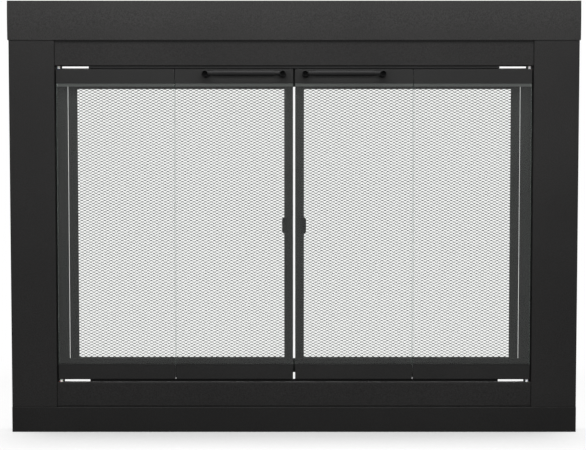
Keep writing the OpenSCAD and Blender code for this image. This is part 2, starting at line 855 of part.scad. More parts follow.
// Riveted pins on the outer leaf, which turn in the bushings.
module pivot_pins() {
    color([0.62, 0.63, 0.65]) {
        round_z([pivot_x, pivot_y, leaf_top - rail_wall - head_h], head_r, head_h);
        round_z([pivot_x, pivot_y, leaf_top - rail_wall - head_h], pin_r,
            bushing_top + 1 - leaf_top + rail_wall + head_h);
        round_z([pivot_x, pivot_y, leaf_z + rail_wall], head_r, head_h);
        round_z([pivot_x, pivot_y, bushing_low - 1], pin_r, leaf_z + rail_wall + head_h - bushing_low + 1);
    }
}

module guide_pin() {
    color([0.62, 0.63, 0.65]) {
        round_z([guide_x, pivot_y, leaf_top - rail_wall - head_h], head_r, head_h);
        round_z([guide_x, pivot_y, leaf_top - rail_wall - head_h], pin_r,
            roller_z + roller_h - leaf_top + rail_wall + head_h);
        round_z([guide_x, pivot_y, leaf_top], shoulder_r, roller_z - leaf_top);
    }
}

module guide_roller() {
    color([0.9, 0.9, 0.88]) difference() {
        round_z([guide_x, pivot_y, roller_z], roller_r, roller_h);
        round_z([guide_x, pivot_y, roller_z - eps], pin_r + run_fit, roller_h + 2 * eps);
    }
}

// One knuckle of a fold hinge with the part of the plate that joins it.
module knuckle(z, h, out) {
    round_z([fold_x, fold_y, z], barrel_r, h);
    block([min(fold_x, fold_x + out * 4), leaf_back, z], [max(fold_x, fold_x + out * 4), fold_y, z + h]);
}

module fold_plate(z, out) {
    near = fold_x + out * (barrel_r + barrel_clear);
    far = fold_x + out * plate_w;
    block([min(near, far), leaf_back, z - hinge_h / 2], [max(near, far), fold_y, z + hinge_h / 2]);
}

module fold_plates_outer() {
    color([0.25, 0.25, 0.26]) for (z = [top_hinge_z, low_hinge_z]) difference() {
        union() {
            fold_plate(z, 1);
            knuckle(z - hinge_h / 2, knuckle_h, 1);
            knuckle(z + hinge_h / 2 - knuckle_h, knuckle_h, 1);
        }
        round_z([fold_x, fold_y, z - hinge_h / 2 - eps], fold_pin_r, hinge_h + 2 * eps);
    }
}

module fold_plates_inner() {
    color([0.25, 0.25, 0.26]) for (z = [top_hinge_z, low_hinge_z]) difference() {
        union() {
            fold_plate(z, -1);
            knuckle(z - knuckle_h / 2, knuckle_h, -1);
        }
        round_z([fold_x, fold_y, z - knuckle_h / 2 - eps], fold_pin_r + run_fit, knuckle_h + 2 * eps);
    }
}

module fold_pins() {
    color([0.62, 0.63, 0.65]) for (z = [top_hinge_z, low_hinge_z])
        round_z([fold_x, fold_y, z - hinge_h / 2], fold_pin_r, hinge_h);
}

// Round bar necked down at both ends, between two posts with cupped fronts.
module handle() {
    chamfer = 0.8;
    taper = 5;
    front = handle_y - handle_bar_r - 0.7 + chamfer;
    bar_x = handle_x0 + handle_neck_l + taper;
    color([0.12, 0.12, 0.12]) difference() {
        union() {
            round_x([handle_x0, handle_y, handle_z], handle_neck_r, handle_pitch);
            round_x([bar_x, handle_y, handle_z], handle_bar_r, handle_pitch - 2 * (bar_x - handle_x0));
            translate([bar_x, handle_y, handle_z]) rotate([0, -90, 0])
                cylinder(h = taper, r1 = handle_bar_r, r2 = handle_neck_r);
            translate([handle_x0 + handle_x1 - bar_x, handle_y, handle_z]) rotate([0, 90, 0])
                cylinder(h = taper, r1 = handle_bar_r, r2 = handle_neck_r);
            for (x = [handle_x0, handle_x1]) {
                round_y([x, front, handle_z], handle_post_r, leaf_y - front);
                translate([x, front, handle_z]) rotate([90, 0, 0])
                    cylinder(h = chamfer, r1 = handle_post_r, r2 = handle_post_r - chamfer);
            }
        }
        handle_holes(front - chamfer - eps, handle_cup + eps, handle_post_r - 1.3);
        handle_holes(leaf_y - handle_thread - eps, handle_thread + 2 * eps, pin_r);
    }
}

module handle_screws() {
    color([0.62, 0.63, 0.65]) {
        handle_holes(leaf_y - handle_thread, handle_thread + rail_wall, pin_r);
        handle_holes(leaf_y + rail_wall, head_h, handle_head_r);
    }
}

// ---------------------------------------------------------------- mesh gates

module frame_ring(inset, y0, y1) {
    block([gate_inner + inset, y0, gate_low + inset], [gate_outer - inset, y1, gate_high - inset]);
}

// Mitred channel frame, open at the back, with the pivot pins welded on.
module gate_frame() {
    inner_wall = gate_tube_w - gate_sheet;
    color([0.22, 0.22, 0.22]) {
        difference() {
            frame_ring(0, gate_y, gate_y + gate_depth);
            frame_ring(gate_tube_w, gate_y - eps, gate_y + gate_depth + eps);
            frame_ring(inner_wall, mesh_y, gate_y + gate_depth + eps);
            difference() {
                frame_ring(gate_sheet, gate_y + gate_sheet, gate_y + gate_depth + eps);
                frame_ring(inner_wall, gate_y, gate_y + gate_depth + 2 * eps);
            }
        }
        round_z([gate_pin_x, gate_mid, gate_high], pin_r, ear_gap + ear_t + 4);
        round_z([gate_pin_x, gate_mid, gate_low - ear_gap - ear_t - 4], pin_r, ear_gap + ear_t + 4);
        round_z([gate_pin_x, gate_mid, gate_low - ear_gap + 0.3], pin_r + 1.2, ear_gap - 0.3);
    }
}

// Expanded sheet: rows of diamonds, each row offset by half a pitch.
module gate_mesh() {
    win_x = gate_inner + gate_tube_w;
    win_w = gate_outer - gate_inner - 2 * gate_tube_w;
    win_h = mesh_high - mesh_low;
    lap = gate_tube_w - gate_sheet - 6;
    half_w = mesh_pitch / 2;
    half_h = mesh_pitch / 4;
    edge = half_w * half_h / sqrt(half_w * half_w + half_h * half_h);
    open = 1 - strand_w / 2 / edge;
    cols = ceil(win_w / mesh_pitch / 2) + 1;
    rows = ceil(win_h / half_h / 2) + 1;
    color([0.35, 0.35, 0.35]) translate([win_x + win_w / 2, mesh_y + mesh_t, (mesh_low + mesh_high) / 2])
        rotate([90, 0, 0]) linear_extrude(mesh_t) difference() {
            square([win_w + 2 * lap, win_h + 2 * lap], center = true);
            intersection() {
                square([win_w, win_h], center = true);
                union() {
                    for (i = [-cols:cols], j = [-rows:rows])
                        translate([(i + (j % 2 == 0 ? 0 : 0.5)) * mesh_pitch, j * half_h])
                            polygon(open * [[-half_w, 0], [0, -half_h], [half_w, 0], [0, half_h]]);
                }
            }
        }
}

// Finger pull with its outer corners cut off.
module gate_pull() {
    cut = 3;
    x0 = gate_inner + 11.2;
    color([0.12, 0.12, 0.12]) translate([0, gate_y, 0]) rotate([90, 0, 0]) linear_extrude(pull_out)
        translate([x0, pull_mid_z - pull_h / 2])
            polygon([[0, 0], [pull_w - cut, 0], [pull_w, cut], [pull_w, pull_h - cut],
                [pull_w - cut, pull_h], [0, pull_h]]);
}

// ---------------------------------------------------------------- the nodes

hood_cap();
on_left() stile();  // left_stile
on_right() stile();  // right_stile
sill();
header_rail();
bottom_rail();
guide_track();
bottom_stop_strip();
top_pivot_brackets();
bottom_pivot_brackets();
pivot_bushings();
jamb_channels();
gate_top_bar();
gate_bottom_bar();
gate_hinge_ears();
gate_magnets();
corner_brackets();
frame_screws();
lintel_clamps();
clamp_bolts();
floor_brackets();

on_left() leaf_top_rail(fold_x + fold_gap / 2, leaf_outer, pivot_x);  // left_outer_top_rail
on_left() leaf_bottom_rail(fold_x + fold_gap / 2, leaf_outer, pivot_x);  // left_outer_bottom_rail
on_left() glass_pane(fold_x + fold_gap / 2, leaf_outer);  // left_outer_glass
on_left() leaf_gaskets(fold_x + fold_gap / 2, leaf_outer, pivot_x);  // left_outer_gaskets
on_left() pivot_pins();  // left_pivot_pins
on_left() fold_plates_outer();  // left_fold_plates_outer
on_left() fold_pins();  // left_fold_pins
on_left() leaf_top_rail(leaf_inner, fold_x - fold_gap / 2, guide_x);  // left_inner_top_rail
on_left() leaf_bottom_rail(leaf_inner, fold_x - fold_gap / 2, guide_x);  // left_inner_bottom_rail
on_left() glass_pane(leaf_inner, fold_x - fold_gap / 2);  // left_inner_glass
on_left() leaf_gaskets(leaf_inner, fold_x - fold_gap / 2, guide_x);  // left_inner_gaskets
on_left() fold_plates_inner();  // left_fold_plates_inner
on_left() guide_pin();  // left_guide_pin
on_left() guide_roller();  // left_guide_roller
on_left() handle();  // left_handle
on_left() handle_screws();  // left_handle_screws
on_left() gate_frame();  // left_gate_frame
on_left() gate_mesh();  // left_gate_mesh
on_left() gate_pull();  // left_gate_pull

on_right() leaf_top_rail(fold_x + fold_gap / 2, leaf_outer, pivot_x);  // right_outer_top_rail
on_right() leaf_bottom_rail(fold_x + fold_gap / 2, leaf_outer, pivot_x);  // right_outer_bottom_rail
on_right() glass_pane(fold_x + fold_gap / 2, leaf_outer);  // right_outer_glass
on_right() leaf_gaskets(fold_x + fold_gap / 2, leaf_outer, pivot_x);  // right_outer_gaskets
on_right() pivot_pins();  // right_pivot_pins
on_right() fold_plates_outer();  // right_fold_plates_outer
on_right() fold_pins();  // right_fold_pins
on_right() leaf_top_rail(leaf_inner, fold_x - fold_gap / 2, guide_x);  // right_inner_top_rail
on_right() leaf_bottom_rail(leaf_inner, fold_x - fold_gap / 2, guide_x);  // right_inner_bottom_rail
on_right() glass_pane(leaf_inner, fold_x - fold_gap / 2);  // right_inner_glass
on_right() leaf_gaskets(leaf_inner, fold_x - fold_gap / 2, guide_x);  // right_inner_gaskets
on_right() fold_plates_inner();  // right_fold_plates_inner
on_right() guide_pin();  // right_guide_pin
on_right() guide_roller();  // right_guide_roller
on_right() handle();  // right_handle
on_right() handle_screws();  // right_handle_screws
on_right() gate_frame();  // right_gate_frame
on_right() gate_mesh();  // right_gate_mesh
on_right() gate_pull();  // right_gate_pull
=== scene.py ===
import math

import bmesh
import bpy
from mathutils import Matrix, Vector


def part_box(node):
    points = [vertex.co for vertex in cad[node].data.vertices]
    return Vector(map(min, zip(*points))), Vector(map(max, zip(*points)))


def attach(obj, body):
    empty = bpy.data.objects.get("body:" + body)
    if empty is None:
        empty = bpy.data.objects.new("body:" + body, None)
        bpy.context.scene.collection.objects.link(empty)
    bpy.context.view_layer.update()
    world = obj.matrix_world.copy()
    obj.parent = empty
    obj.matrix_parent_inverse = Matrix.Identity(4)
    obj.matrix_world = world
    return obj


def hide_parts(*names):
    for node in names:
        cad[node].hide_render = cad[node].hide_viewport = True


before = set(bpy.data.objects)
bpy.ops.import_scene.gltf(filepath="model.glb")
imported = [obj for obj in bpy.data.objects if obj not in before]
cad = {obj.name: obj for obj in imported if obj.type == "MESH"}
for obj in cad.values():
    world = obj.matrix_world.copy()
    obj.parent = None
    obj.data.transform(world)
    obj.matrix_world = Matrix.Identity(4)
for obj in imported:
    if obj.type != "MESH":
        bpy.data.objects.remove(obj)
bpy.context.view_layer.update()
scene = bpy.context.scene
scene.view_settings.view_transform = "Standard"


# ------------------------------------------------------------ room
# A white studio with an endless backdrop. The camera sees it pure white, also
# straight through glass. Paint, zinc and glass mirror it dimmed, and the light
# that it throws on the pieces is weak beside the lamps'.

room_mirrored = 0.35
room_ambient = 0.09


def node(tree, kind, place, **settings):
    made = tree.nodes.new(kind)
    made.location = place
    for key, value in settings.items():
        setattr(made, key, value)
    return made


def math_node(tree, place, operation, *values):
    made = node(tree, "ShaderNodeMath", place, operation=operation)
    for socket, value in zip(made.inputs, values):
        if isinstance(value, (int, float)):
            socket.default_value = value
        else:
            tree.links.new(value, socket)
    return made.outputs[0]


def backdrop_rays(tree):
    # Rays that come to the backdrop unreflected: the camera's own, and those
    # that went straight through glass.
    rays = node(tree, "ShaderNodeLightPath", (-900, 300))
    unreflected = math_node(tree, (-700, 200), "LESS_THAN", rays.outputs["Glossy Depth"], 0.5)
    through = math_node(tree, (-500, 200), "MULTIPLY", rays.outputs["Is Transmission Ray"], unreflected)
    return rays, math_node(tree, (-300, 300), "MAXIMUM", rays.outputs["Is Camera Ray"], through)


room = bpy.data.worlds.new("room")
scene.world = room
room.use_nodes = True
tree = room.node_tree
tree.nodes.clear()
rays, seen = backdrop_rays(tree)
# Light that matt surfaces gather is at the ambient level, and reflections see the mirrored one.
ambient = math_node(tree, (-300, -100), "MULTIPLY_ADD", rays.outputs["Is Diffuse Ray"],
                    room_ambient - room_mirrored, room_mirrored)
level = math_node(tree, (-100, 100), "MAXIMUM", seen, ambient)
white = node(tree, "ShaderNodeBackground", (160, 0))
white.inputs["Color"].default_value = (1, 1, 1, 1)
tree.links.new(level, white.inputs["Strength"])
sky = node(tree, "ShaderNodeOutputWorld", (340, 0))
tree.links.new(white.outputs[0], sky.inputs["Surface"])


# ------------------------------------------------------------ lamps
# Four soft panels out of the camera's sight. Two light the face, from high up and
# from the front. A narrow strip overhead gives the short shadow on the floor, and
# one at the rear lights the paper and the gates from behind.

def soft_panel(name, place, aim, size, power):
    lamp = bpy.data.lights.new(name, "AREA")
    lamp.shape = "RECTANGLE"
    lamp.size, lamp.size_y = size
    lamp.energy = power
    made = bpy.data.objects.new(name, lamp)
    made.location = place
    made.rotation_euler = (Vector(aim) - Vector(place)).to_track_quat("-Z", "Y").to_euler()
    made.visible_camera = False
    scene.collection.objects.link(made)


soft_panel("high_panel", place=(0, -1.0, 1.9), aim=(0, 0, 0.62), size=(3.0, 0.7), power=51)
soft_panel("front_panel", place=(0, -3.0, 0.98), aim=(0, 0, 0.45), size=(3.0, 0.22), power=34)
soft_panel("overhead_strip", place=(0, 0.08, 1.9), aim=(0, 0.08, 0), size=(2.4, 0.21), power=64)
soft_panel("rear_panel", place=(0, 2.4, 1.6), aim=(0, 0, 0.45), size=(3.0, 0.6), power=60)


# ------------------------------------------------------------ floor
# The sheet of white paper that the surround stands on. By the surround it takes
# the lamps' light and a soft shadow. Further out, and beside the surround, its own
# glow takes over, so that it melts into the backdrop for the camera.

floor_reach = 30
paper_white = 0.23
paper_glow = 0.45
paper_mirrored = 0.33
side_white = 0.6

# The glow takes over between these distances, in metres: outwards from the middle
# of the surround, and sideways from it.
paper_near = 0.5
paper_far = 1.2
side_near = 0.45
side_far = 0.60


def new_material(name):
    made = bpy.data.materials.new(name)
    made.use_nodes = True
    return made, made.node_tree, made.node_tree.nodes["Principled BSDF"]


def set_values(sockets, values):
    for label, value in values.items():
        sockets[label].default_value = value


def object_place(tree, place):
    return node(tree, "ShaderNodeTexCoord", place).outputs["Object"]


def ranged(tree, place, value, low, high, start=0.0, end=1.0, **settings):
    # Goes from low to high as the value goes from start to end, and stays level beyond.
    made = node(tree, "ShaderNodeMapRange", place, **settings)
    tree.links.new(value, made.inputs["Value"])
    for label, number in zip(("From Min", "From Max", "To Min", "To Max"), (start, end, low, high)):
        if isinstance(number, (int, float)):
            made.inputs[label].default_value = number
        else:
            tree.links.new(number, made.inputs[label])
    return made.outputs[0]


def two_tone(tree, place, factor, low, high):
    made = node(tree, "ShaderNodeMix", place, data_type="RGBA")
    set_values(made.inputs, {"A": (*low, 1), "B": (*high, 1)})
    tree.links.new(factor, made.inputs["Factor"])
    return made.outputs["Result"]


def blend_shaders(tree, factor, first, second):
    blend = node(tree, "ShaderNodeMixShader", (300, 100))
    for socket, source in zip(blend.inputs, (factor, first.outputs[0], second.outputs[0])):
        tree.links.new(source, socket)
    tree.links.new(blend.outputs[0], tree.nodes["Material Output"].inputs["Surface"])


floor_mesh = bpy.data.meshes.new("floor")
square = bmesh.new()
bmesh.ops.create_grid(square, x_segments=1, y_segments=1, size=floor_reach)
square.to_mesh(floor_mesh)
square.free()
floor = bpy.data.objects.new("floor", floor_mesh)
scene.collection.objects.link(floor)

paper, tree, shader = new_material("floor_paper")
set_values(shader.inputs, {"Roughness": 1, "Specular IOR Level": 0, "Emission Color": (1, 1, 1, 1)})
rays, seen = backdrop_rays(tree)
spot = object_place(tree, (-900, -300))
reach = node(tree, "ShaderNodeVectorMath", (-700, -300), operation="LENGTH")
tree.links.new(spot, reach.inputs[0])
far = ranged(tree, (-500, -300), reach.outputs["Value"], 0.0, 1.0, paper_near, paper_far,
             interpolation_type="SMOOTHSTEP")
parts = node(tree, "ShaderNodeSeparateXYZ", (-700, -500))
tree.links.new(spot, parts.inputs[0])
aside = math_node(tree, (-600, -600), "ABSOLUTE", parts.outputs["X"])
beside = ranged(tree, (-500, -600), aside, 0.0, side_white, side_near, side_far,
                interpolation_type="SMOOTHSTEP")
open_floor = math_node(tree, (-350, -450), "MAXIMUM", far, beside)
lit = two_tone(tree, (-250, -150), open_floor, (paper_white,) * 3, (0, 0, 0))
tree.links.new(lit, shader.inputs["Base Color"])
own = math_node(tree, (-250, -400), "MULTIPLY_ADD", open_floor, 1 - paper_glow, paper_glow)
shown = math_node(tree, (-50, -300), "MULTIPLY", seen, own)
tree.links.new(shown, shader.inputs["Emission Strength"])
# Reflections see the paper dimmed.
dim = node(tree, "ShaderNodeEmission", (0, 200))
dim.inputs["Strength"].default_value = paper_mirrored
mirrored = math_node(tree, (-100, 400), "SUBTRACT", rays.outputs["Is Glossy Ray"], seen)
blend_shaders(tree, mirrored, shader, dim)
floor_mesh.materials.append(paper)


# ------------------------------------------------------------ camera
# The photograph's view, fitted to the surround's edges: a longish lens a little
# above the middle of the surround, looking slightly down, square to its face.

photo_width = 586
photo_shift = -1.08
camera_away = 2.8362
camera_up = 0.565
camera_dip = math.radians(3.2125)
camera_data = bpy.data.cameras.new("camera")
camera_data.sensor_width = 36
camera_data.lens = 89.08
camera_data.shift_x = photo_shift / photo_width
camera_data.clip_end = 100
camera = bpy.data.objects.new("camera", camera_data)
camera.location = (0, -camera_away, camera_up)
camera.rotation_euler = (math.pi / 2 - camera_dip, 0, 0)
scene.collection.objects.link(camera)
scene.camera = camera


# ------------------------------------------------------------ surround
# Hood, stiles, sill, header and bottom rail: folded sheet steel with a fine
# textured powder coat, brown-black. The hood's is painted lighter, as light on the top,
# and the sill's darker, as shade at the foot. Corner angles and screws hold them together from behind.

grain_scale = 520
peel_scale = 1500
cloud_scale = 5
peel_depth = 0.0002

# Most of a noise lies between these two.
noise_low = 0.3
noise_high = 0.7


def effect_group(name, inputs, outputs):
    group = bpy.data.node_groups.new(name, "ShaderNodeTree")
    for label, value in inputs.items():
        kind = "NodeSocketColor" if isinstance(value, tuple) else "NodeSocketFloat"
        socket = group.interface.new_socket(label, in_out="INPUT", socket_type=kind)
        socket.default_value = value
    for label, kind in outputs.items():
        group.interface.new_socket(label, in_out="OUTPUT", socket_type=kind)
    start = node(group, "NodeGroupInput", (-900, 0))
    end = node(group, "NodeGroupOutput", (700, 0))
    return group, start.outputs, end.inputs


def noise(tree, place, vector, scale, detail):
    made = node(tree, "ShaderNodeTexNoise", place)
    set_values(made.inputs, {"Scale": scale, "Detail": detail, "Roughness": 0.5})
    tree.links.new(vector, made.inputs["Vector"])
    return made.outputs[0]


def scaled_colour(tree, place, colour, factor):
    made = node(tree, "ShaderNodeVectorMath", place, operation="SCALE")
    tree.links.new(colour, made.inputs[0])
    tree.links.new(factor, made.inputs["Scale"])
    return made.outputs[0]


# The powder's orange peel, its fine speckle and slow changes of tone.
powder, pin, pout = effect_group(
    "powder_coat",
    {"Colour": (0.02, 0.02, 0.02, 1), "Speckle": 0.3, "Roughness": 0.45},
    {"Colour": "NodeSocketColor", "Roughness": "NodeSocketFloat", "Height": "NodeSocketFloat"})
where = object_place(powder, (-900, -300))
grain = noise(powder, (-650, -100), where, grain_scale, detail=2)
peel = noise(powder, (-650, -300), where, peel_scale, detail=1)
cloud = noise(powder, (-650, -500), where, cloud_scale, detail=3)
grain_low = math_node(powder, (-450, 50), "SUBTRACT", 1.0, pin["Speckle"])
grain_high = math_node(powder, (-450, -50), "ADD", 1.0, pin["Speckle"])
tone = ranged(powder, (-250, 0), grain, grain_low, grain_high, noise_low, noise_high)
drift = ranged(powder, (-250, -250), cloud, 0.93, 1.07, 0.35, 0.65)
tone = math_node(powder, (-50, -100), "MULTIPLY", tone, drift)
powder.links.new(scaled_colour(powder, (150, 100), pin["Colour"], tone), pout["Colour"])
shift = ranged(powder, (-50, -350), grain, -0.05, 0.05, noise_low, noise_high)
powder.links.new(math_node(powder, (150, -250), "ADD", pin["Roughness"], shift), pout["Roughness"])
powder.links.new(math_node(powder, (150, -450), "ADD", grain, peel), pout["Height"])


def add_relief(tree, shader, height, strength, depth):
    relief = node(tree, "ShaderNodeBump", (-250, -250))
    set_values(relief.inputs, {"Strength": strength, "Distance": depth})
    tree.links.new(height, relief.inputs["Height"])
    tree.links.new(relief.outputs[0], shader.inputs["Normal"])


def finish_of(name, effect, values, bump, depth, constants):
    made, tree, shader = new_material(name)
    surface = node(tree, "ShaderNodeGroup", (-500, 0), node_tree=effect)
    set_values(surface.inputs, values)
    tree.links.new(surface.outputs["Colour"], shader.inputs["Base Color"])
    tree.links.new(surface.outputs["Roughness"], shader.inputs["Roughness"])
    add_relief(tree, shader, surface.outputs["Height"], bump, depth)
    set_values(shader.inputs, constants)
    return made


def coat_of(name, colour, speckle, roughness, bump, specular):
    values = {"Colour": (*colour, 1), "Speckle": speckle, "Roughness": roughness}
    return finish_of(name, powder, values, bump, peel_depth, {"Specular IOR Level": specular})


def dress(names, material):
    for name in names:
        mesh = cad[name].data
        mesh.materials.clear()
        mesh.materials.append(material)


textured = {"speckle": 0.35, "roughness": 0.5, "bump": 0.25}
surround_black = (0.0160, 0.0157, 0.0155)
surround_coat = coat_of("surround_coat", surround_black, specular=0.11, **textured)
dress(("header_rail", "bottom_rail"), surround_coat)
# The sill's coat is painted darker as shade at the foot, and the hood's lighter as light on the top.
sill_shaded_coat = coat_of("sill_shaded_coat", (0.0128, 0.0126, 0.0124), specular=0.10, **textured)
dress(("sill",), sill_shaded_coat)
hood_lit_coat = coat_of("hood_lit_coat", (0.0234, 0.0230, 0.0226), specular=0.12, **textured)
dress(("hood_cap",), hood_lit_coat)


def object_xyz(tree, place):
    made = node(tree, "ShaderNodeSeparateXYZ", place)
    tree.links.new(object_place(tree, (place[0] - 200, place[1])), made.inputs[0])
    return made.outputs


def paint_shade_into(material, tone, dullness):
    # Paints shade into the coat: scales its colour by the tone and keeps it at least as rough as the
    # dullness.
    tree = material.node_tree
    shader = tree.nodes["Principled BSDF"]
    even = shader.inputs["Base Color"].links[0].from_socket
    tree.links.new(scaled_colour(tree, (-150, 300), even, tone), shader.inputs["Base Color"])
    satin = shader.inputs["Roughness"].links[0].from_socket
    tree.links.new(math_node(tree, (-150, 500), "MAXIMUM", satin, dullness), shader.inputs["Roughness"])


# The stiles' folded inner sides are painted darker, as shade in the recess beside the leaves, and quite
# matt.
fold_skin = 0.0002
fold_x = abs(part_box("left_stile")[1][0]) + fold_skin
bend = 0.0013
fold_shade_tone = 0.35
stile_coat = coat_of("stile_coat", surround_black, specular=0.11, **textured)
tree = stile_coat.node_tree
across = math_node(tree, (-1100, 300), "ABSOLUTE", object_xyz(tree, (-1300, 300))["X"])
paint_shade_into(stile_coat,
          tone=ranged(tree, (-400, 300), across, fold_shade_tone, 1.0, fold_x, fold_x + bend),
          dullness=ranged(tree, (-400, 500), across, 1.0, 0.0, fold_x, fold_x + bend))
dress(("left_stile", "right_stile"), stile_coat)


# ------------------------------------------------------------ zinc hardware
# Corner angles, pivot brackets, lintel clamps, floor brackets and their bolts and
# screws: punched and bent steel strip with a bright zinc plate, which shows the
# strip's rolling marks.

rolling_marks = (60, 900, 900)
spangle_scale = 260
plate, pin, pout = effect_group(
    "zinc_plate", {"Colour": (0.6, 0.61, 0.63, 1), "Roughness": 0.35},
    {"Colour": "NodeSocketColor", "Roughness": "NodeSocketFloat", "Height": "NodeSocketFloat"})
where = object_place(plate, (-900, -300))
drawn = node(plate, "ShaderNodeMapping", (-750, -300))
drawn.inputs["Scale"].default_value = rolling_marks
plate.links.new(where, drawn.inputs["Vector"])
marks = noise(plate, (-550, -100), drawn.outputs[0], 1.0, detail=3)
spangle = noise(plate, (-550, -400), where, spangle_scale, detail=2)
tone = ranged(plate, (-300, 0), spangle, 0.86, 1.1, noise_low, noise_high)
plate.links.new(scaled_colour(plate, (0, 100), pin["Colour"], tone), pout["Colour"])
shift = ranged(plate, (-300, -250), marks, -0.08, 0.12, noise_low, noise_high)
plate.links.new(math_node(plate, (0, -150), "ADD", pin["Roughness"], shift), pout["Roughness"])
plate.links.new(marks, pout["Height"])

bright_zinc = finish_of("bright_zinc", plate, {"Colour": (0.55, 0.57, 0.6, 1), "Roughness": 0.32},
                        bump=0.15, depth=0.0001, constants={"Metallic": 1})
dress(("corner_brackets", "top_pivot_brackets", "bottom_pivot_brackets", "lintel_clamps",
       "clamp_bolts", "floor_brackets", "frame_screws"), bright_zinc)


# ------------------------------------------------------------ track and stop strip
# The guide track screwed under the header, and the strip that closes the gap under
# the leaves: bent sheet steel with a dull black paint.

track_paint = coat_of("track_paint", (0.008, 0.008, 0.008), speckle=0.2, roughness=0.6, bump=0.1,
                      specular=0.2)
dress(("guide_track", "bottom_stop_strip"), track_paint)


# ------------------------------------------------------------ leaf rails
# The clamp rails along the top and bottom of each glass leaf: narrow folded
# channels, painted like the surround but finer and a little glossier.

rail_paint = coat_of("rail_paint", (0.0150, 0.0150, 0.0148), speckle=0.2, roughness=0.48, bump=0.12,
                     specular=0.12)
leaves = [f"{side}_{leaf}" for side in ("left", "right") for leaf in ("outer", "inner")]
dress([f"{leaf}_{edge}_rail" for leaf in leaves for edge in ("top", "bottom")], rail_paint)


# ------------------------------------------------------------ gaskets
# U-shaped glass-fibre tape between the rails and the glass. It is a woven
# grey tape, and its back leg shows below each top rail, through the glass.

weave_scale = 420
weave_bend = 0.6
tape, tree, shader = new_material("glass_fibre_tape")
where = object_place(tree, (-900, 0))
warp = node(tree, "ShaderNodeTexWave", (-700, 150), bands_direction="X")
weft = node(tree, "ShaderNodeTexWave", (-700, -150), bands_direction="Z")
for wave in (warp, weft):
    set_values(wave.inputs, {"Scale": weave_scale, "Distortion": weave_bend})
    tree.links.new(where, wave.inputs["Vector"])
weave = math_node(tree, (-450, 0), "MULTIPLY", warp.outputs["Fac"], weft.outputs["Fac"])
yarn = two_tone(tree, (-250, 0), weave, (0.13, 0.135, 0.13), (0.28, 0.285, 0.28))
tree.links.new(yarn, shader.inputs["Base Color"])
add_relief(tree, shader, weave, strength=0.4, depth=0.0003)
set_values(shader.inputs, {"Roughness": 0.8, "Sheen Weight": 0.3})
dress([f"{leaf}_gaskets" for leaf in leaves], tape)


# ------------------------------------------------------------ glass panes
# Four panes of clear tempered glass, 4 mm thick, held by their rails alone. The
# long edges are free and ground matt. Light goes straight through the faces for
# shadows, so that the mesh behind stays lit.

ground_edge = 0.0008
grinding_scale = 900
glass_ior = 1.5
face_on = 0.999
clear_glass, tree, shader = new_material("clear_glass")
set_values(shader.inputs, {"Base Color": (0.985, 1.000, 0.987, 1), "Roughness": 0.0,
                           "IOR": glass_ior, "Transmission Weight": 1})
straight = node(tree, "ShaderNodeBsdfTransparent", (0, -300))
straight.inputs["Color"].default_value = (0.93, 0.95, 0.94, 1)
rays = node(tree, "ShaderNodeLightPath", (-400, 300))
through = math_node(tree, (-200, 300), "MAXIMUM", rays.outputs["Is Shadow Ray"],
                    rays.outputs["Is Diffuse Ray"])
blend_shaders(tree, through, shader, straight)

# The rims are greenish and a little darker than the faces.
ground_glass, tree, shader = new_material("ground_glass")
grinding = noise(tree, (-700, 0), object_place(tree, (-900, 0)), grinding_scale, detail=2)
green = two_tone(tree, (-400, 0), grinding, (0.50, 0.57, 0.53), (0.60, 0.67, 0.63))
tree.links.new(green, shader.inputs["Base Color"])
tree.links.new(ranged(tree, (-400, -250), grinding, 0.12, 0.25), shader.inputs["Roughness"])
set_values(shader.inputs, {"IOR": glass_ior, "Transmission Weight": 0.85, "Specular IOR Level": 0.2})


def new_piece(name, mesh, body, material, stands_for):
    bmesh.ops.recalc_face_normals(mesh, faces=mesh.faces)
    data = bpy.data.meshes.new(name)
    mesh.to_mesh(data)
    mesh.free()
    data.materials.append(material)
    made = bpy.data.objects.new(name, data)
    scene.collection.objects.link(made)
    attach(made, body)
    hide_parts(stands_for)
    return made


def block(low, high):
    made = bmesh.new()
    bmesh.ops.create_cube(made, size=1)
    size = Vector(high) - Vector(low)
    bmesh.ops.scale(made, vec=size, verts=made.verts)
    bmesh.ops.translate(made, vec=(Vector(high) + Vector(low)) / 2, verts=made.verts)
    return made


for leaf in leaves:
    cad_pane = f"{leaf}_glass"
    pane = block(*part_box(cad_pane))
    bmesh.ops.bevel(pane, geom=pane.edges, offset=ground_edge, segments=2, profile=0.5,
                    affect="EDGES", material=-1)
    bmesh.ops.recalc_face_normals(pane, faces=pane.faces)
    for face in pane.faces:
        face.material_index = 0 if abs(face.normal.y) > face_on else 1
    made = new_piece(f"{leaf}_pane", pane, f"{leaf}_leaf", clear_glass, cad_pane)
    made.data.materials.append(ground_glass)


# ------------------------------------------------------------ pivots, guides and fold hinges
# Turned steel pins and the small hinges on the backs of the leaf rails, blacked in
# oxide. The pivots turn in bushings, and the guides in rollers, of moulded natural
# nylon.

nylon_scale = 300
nylon, tree, shader = new_material("natural_nylon")
cloud = noise(tree, (-700, 0), object_place(tree, (-900, 0)), nylon_scale, detail=2)
milky = two_tone(tree, (-400, 0), cloud, (0.78, 0.78, 0.76), (0.86, 0.86, 0.84))
tree.links.new(milky, shader.inputs["Base Color"])
tree.links.new(ranged(tree, (-400, -250), cloud, 0.35, 0.5), shader.inputs["Roughness"])
set_values(shader.inputs, {"Subsurface Weight": 0.2, "Subsurface Scale": 0.002})
dress(("pivot_bushings", "left_guide_roller", "right_guide_roller"), nylon)

black_oxide = coat_of("black_oxide", (0.010, 0.010, 0.011), speckle=0.3, roughness=0.42, bump=0.1,
                      specular=0.35)
dress([f"{side}_{part}" for side in ("left", "right")
       for part in ("fold_plates_outer", "fold_plates_inner", "fold_pins", "pivot_pins", "guide_pin")],
      black_oxide)


# ------------------------------------------------------------ handles
# Round steel bars, necked down at both ends, between two turned posts with cupped
# fronts, painted a flatter black than the surround. Zinc-plated screws hold the posts
# from behind, through the leaves' top rails.

